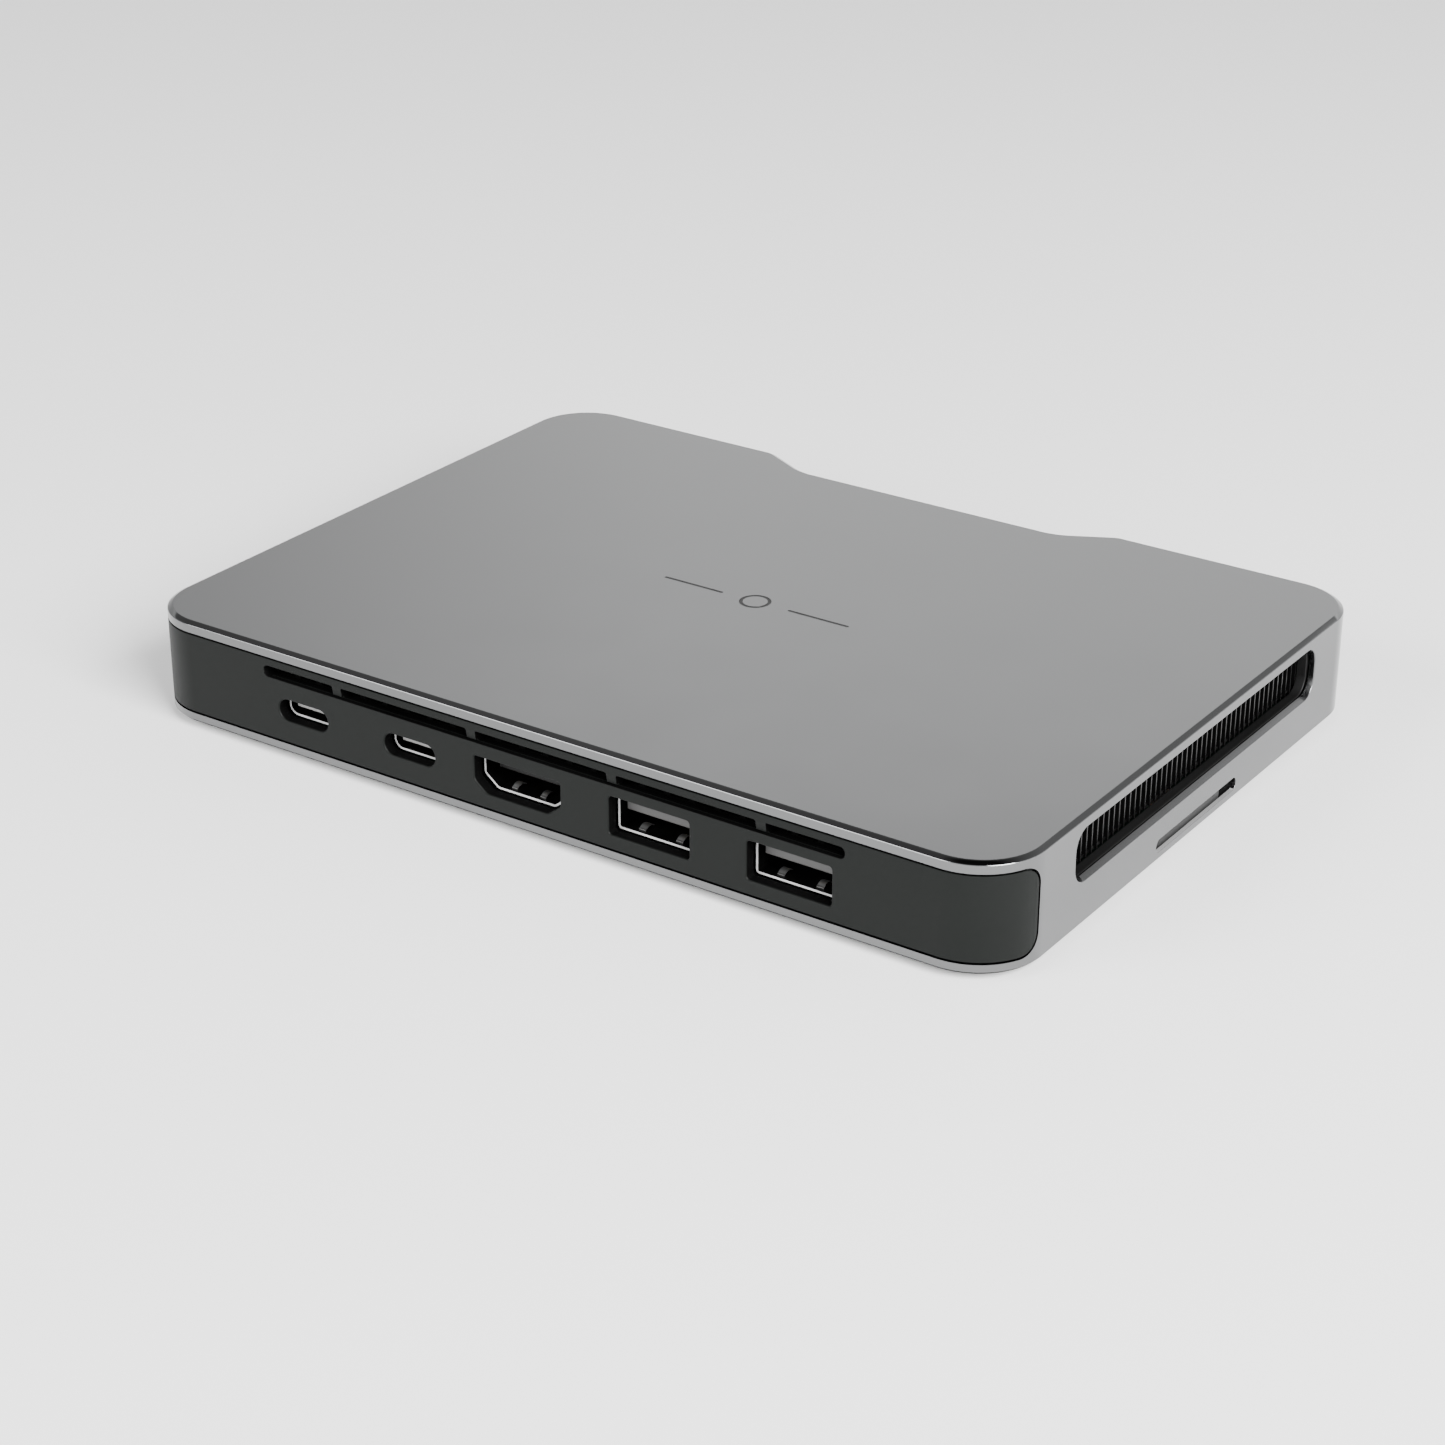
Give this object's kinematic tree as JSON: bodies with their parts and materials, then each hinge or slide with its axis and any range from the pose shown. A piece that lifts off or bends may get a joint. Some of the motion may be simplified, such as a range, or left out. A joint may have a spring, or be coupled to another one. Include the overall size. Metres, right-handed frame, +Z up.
{
  "type": "laptop docking station",
  "caption": "Flat rounded metal desktop dock with a wraparound port bezel, finger notch, side exhaust vent over a fin stack, internal blower and sprung side button.",
  "frame": {"origin": "centre of the case in plan, at the undersides of the rubber feet", "axes": "+Z up, ports face -Y, exhaust vent and power button face +X, finger notch at +Y"},
  "size_m": [0.146, 0.1058, 0.0172],
  "materials": {
    "anodised_shell": "bead-blasted, satin anodised",
    "bezel_plastic": "fine matte moulding",
    "cover_metal": "satin anodised sheet",
    "black_plastic": "matte moulding",
    "contact_plastic": "light grey moulding that carries the contacts",
    "fin_metal": "thin dark anodised fins",
    "plated_steel": "nickel plated, stamped",
    "copper_part": "drawn copper, lightly toned",
    "steel_part": "plain stamped steel",
    "board_laminate": "solder-masked glass laminate",
    "rubber_foot": "matte rubber",
    "pad_silicone": "soft silicone pad",
    "rotor_plastic": "moulded rotor",
    "button_metal": "dark anodised",
    "light_lens": "smoked clear moulding",
    "chip_package": "moulded package"
  },
  "bodies": {
    "chassis": {"top_shell": "anodised_shell", "port_bezel": "bezel_plastic", "bottom_cover": "cover_metal", "vent_frame": "black_plastic", "fin_stack": "fin_metal", "heat_pipe": "copper_part", "cold_plate": "copper_part", "main_board": "board_laminate", "hub_chip": "chip_package", "power_chip": "chip_package", "memory_chip": "chip_package", "power_inductor_1": "steel_part", "power_inductor_2": "steel_part", "thermal_pad": "pad_silicone", "usb_c_shell_1": "plated_steel", "usb_c_shell_2": "plated_steel", "usb_a_shell_1": "plated_steel", "usb_a_shell_2": "plated_steel", "hdmi_shell": "plated_steel", "usb_c_tongue_1": "contact_plastic", "usb_c_tongue_2": "contact_plastic", "usb_a_tongue_1": "contact_plastic", "usb_a_tongue_2": "contact_plastic", "hdmi_tongue": "contact_plastic", "usb_c_riser_1": "black_plastic", "usb_c_riser_2": "black_plastic", "dust_screen": "black_plastic", "fan_housing": "black_plastic", "fan_cover": "steel_part", "fan_coil": "copper_part", "status_light": "light_lens", "power_switch": "steel_part", "foot_1": "rubber_foot", "cover_screw_1": "steel_part", "board_screw_1": "steel_part", "plate_screw_1": "steel_part", "foot_2": "rubber_foot", "cover_screw_2": "steel_part", "board_screw_2": "steel_part", "plate_screw_2": "steel_part", "foot_3": "rubber_foot", "cover_screw_3": "steel_part", "board_screw_3": "steel_part", "plate_screw_3": "steel_part", "foot_4": "rubber_foot", "cover_screw_4": "steel_part", "board_screw_4": "steel_part", "plate_screw_4": "steel_part", "fan_screw_1": "steel_part", "fan_screw_2": "steel_part", "fan_screw_3": "steel_part"},
    "power_button": {"power_button": "button_metal", "switch_plunger": "black_plastic"},
    "fan_rotor": {"fan_impeller": "rotor_plastic"}
  },
  "joints": [
    {"name": "power_button_press", "type": "slide", "parent": "chassis", "child": "power_button", "axis": [-1, 0, 0], "range_m": [0, 0.0004], "stiffness_N_per_m": 2500, "springref_m": -0.0002},
    {"name": "fan_spin", "type": "hinge", "parent": "chassis", "child": "fan_rotor", "pos_m": [0.027, 0.001, 0.0105], "axis": [0, 0, 1], "continuous": true}
  ]
}
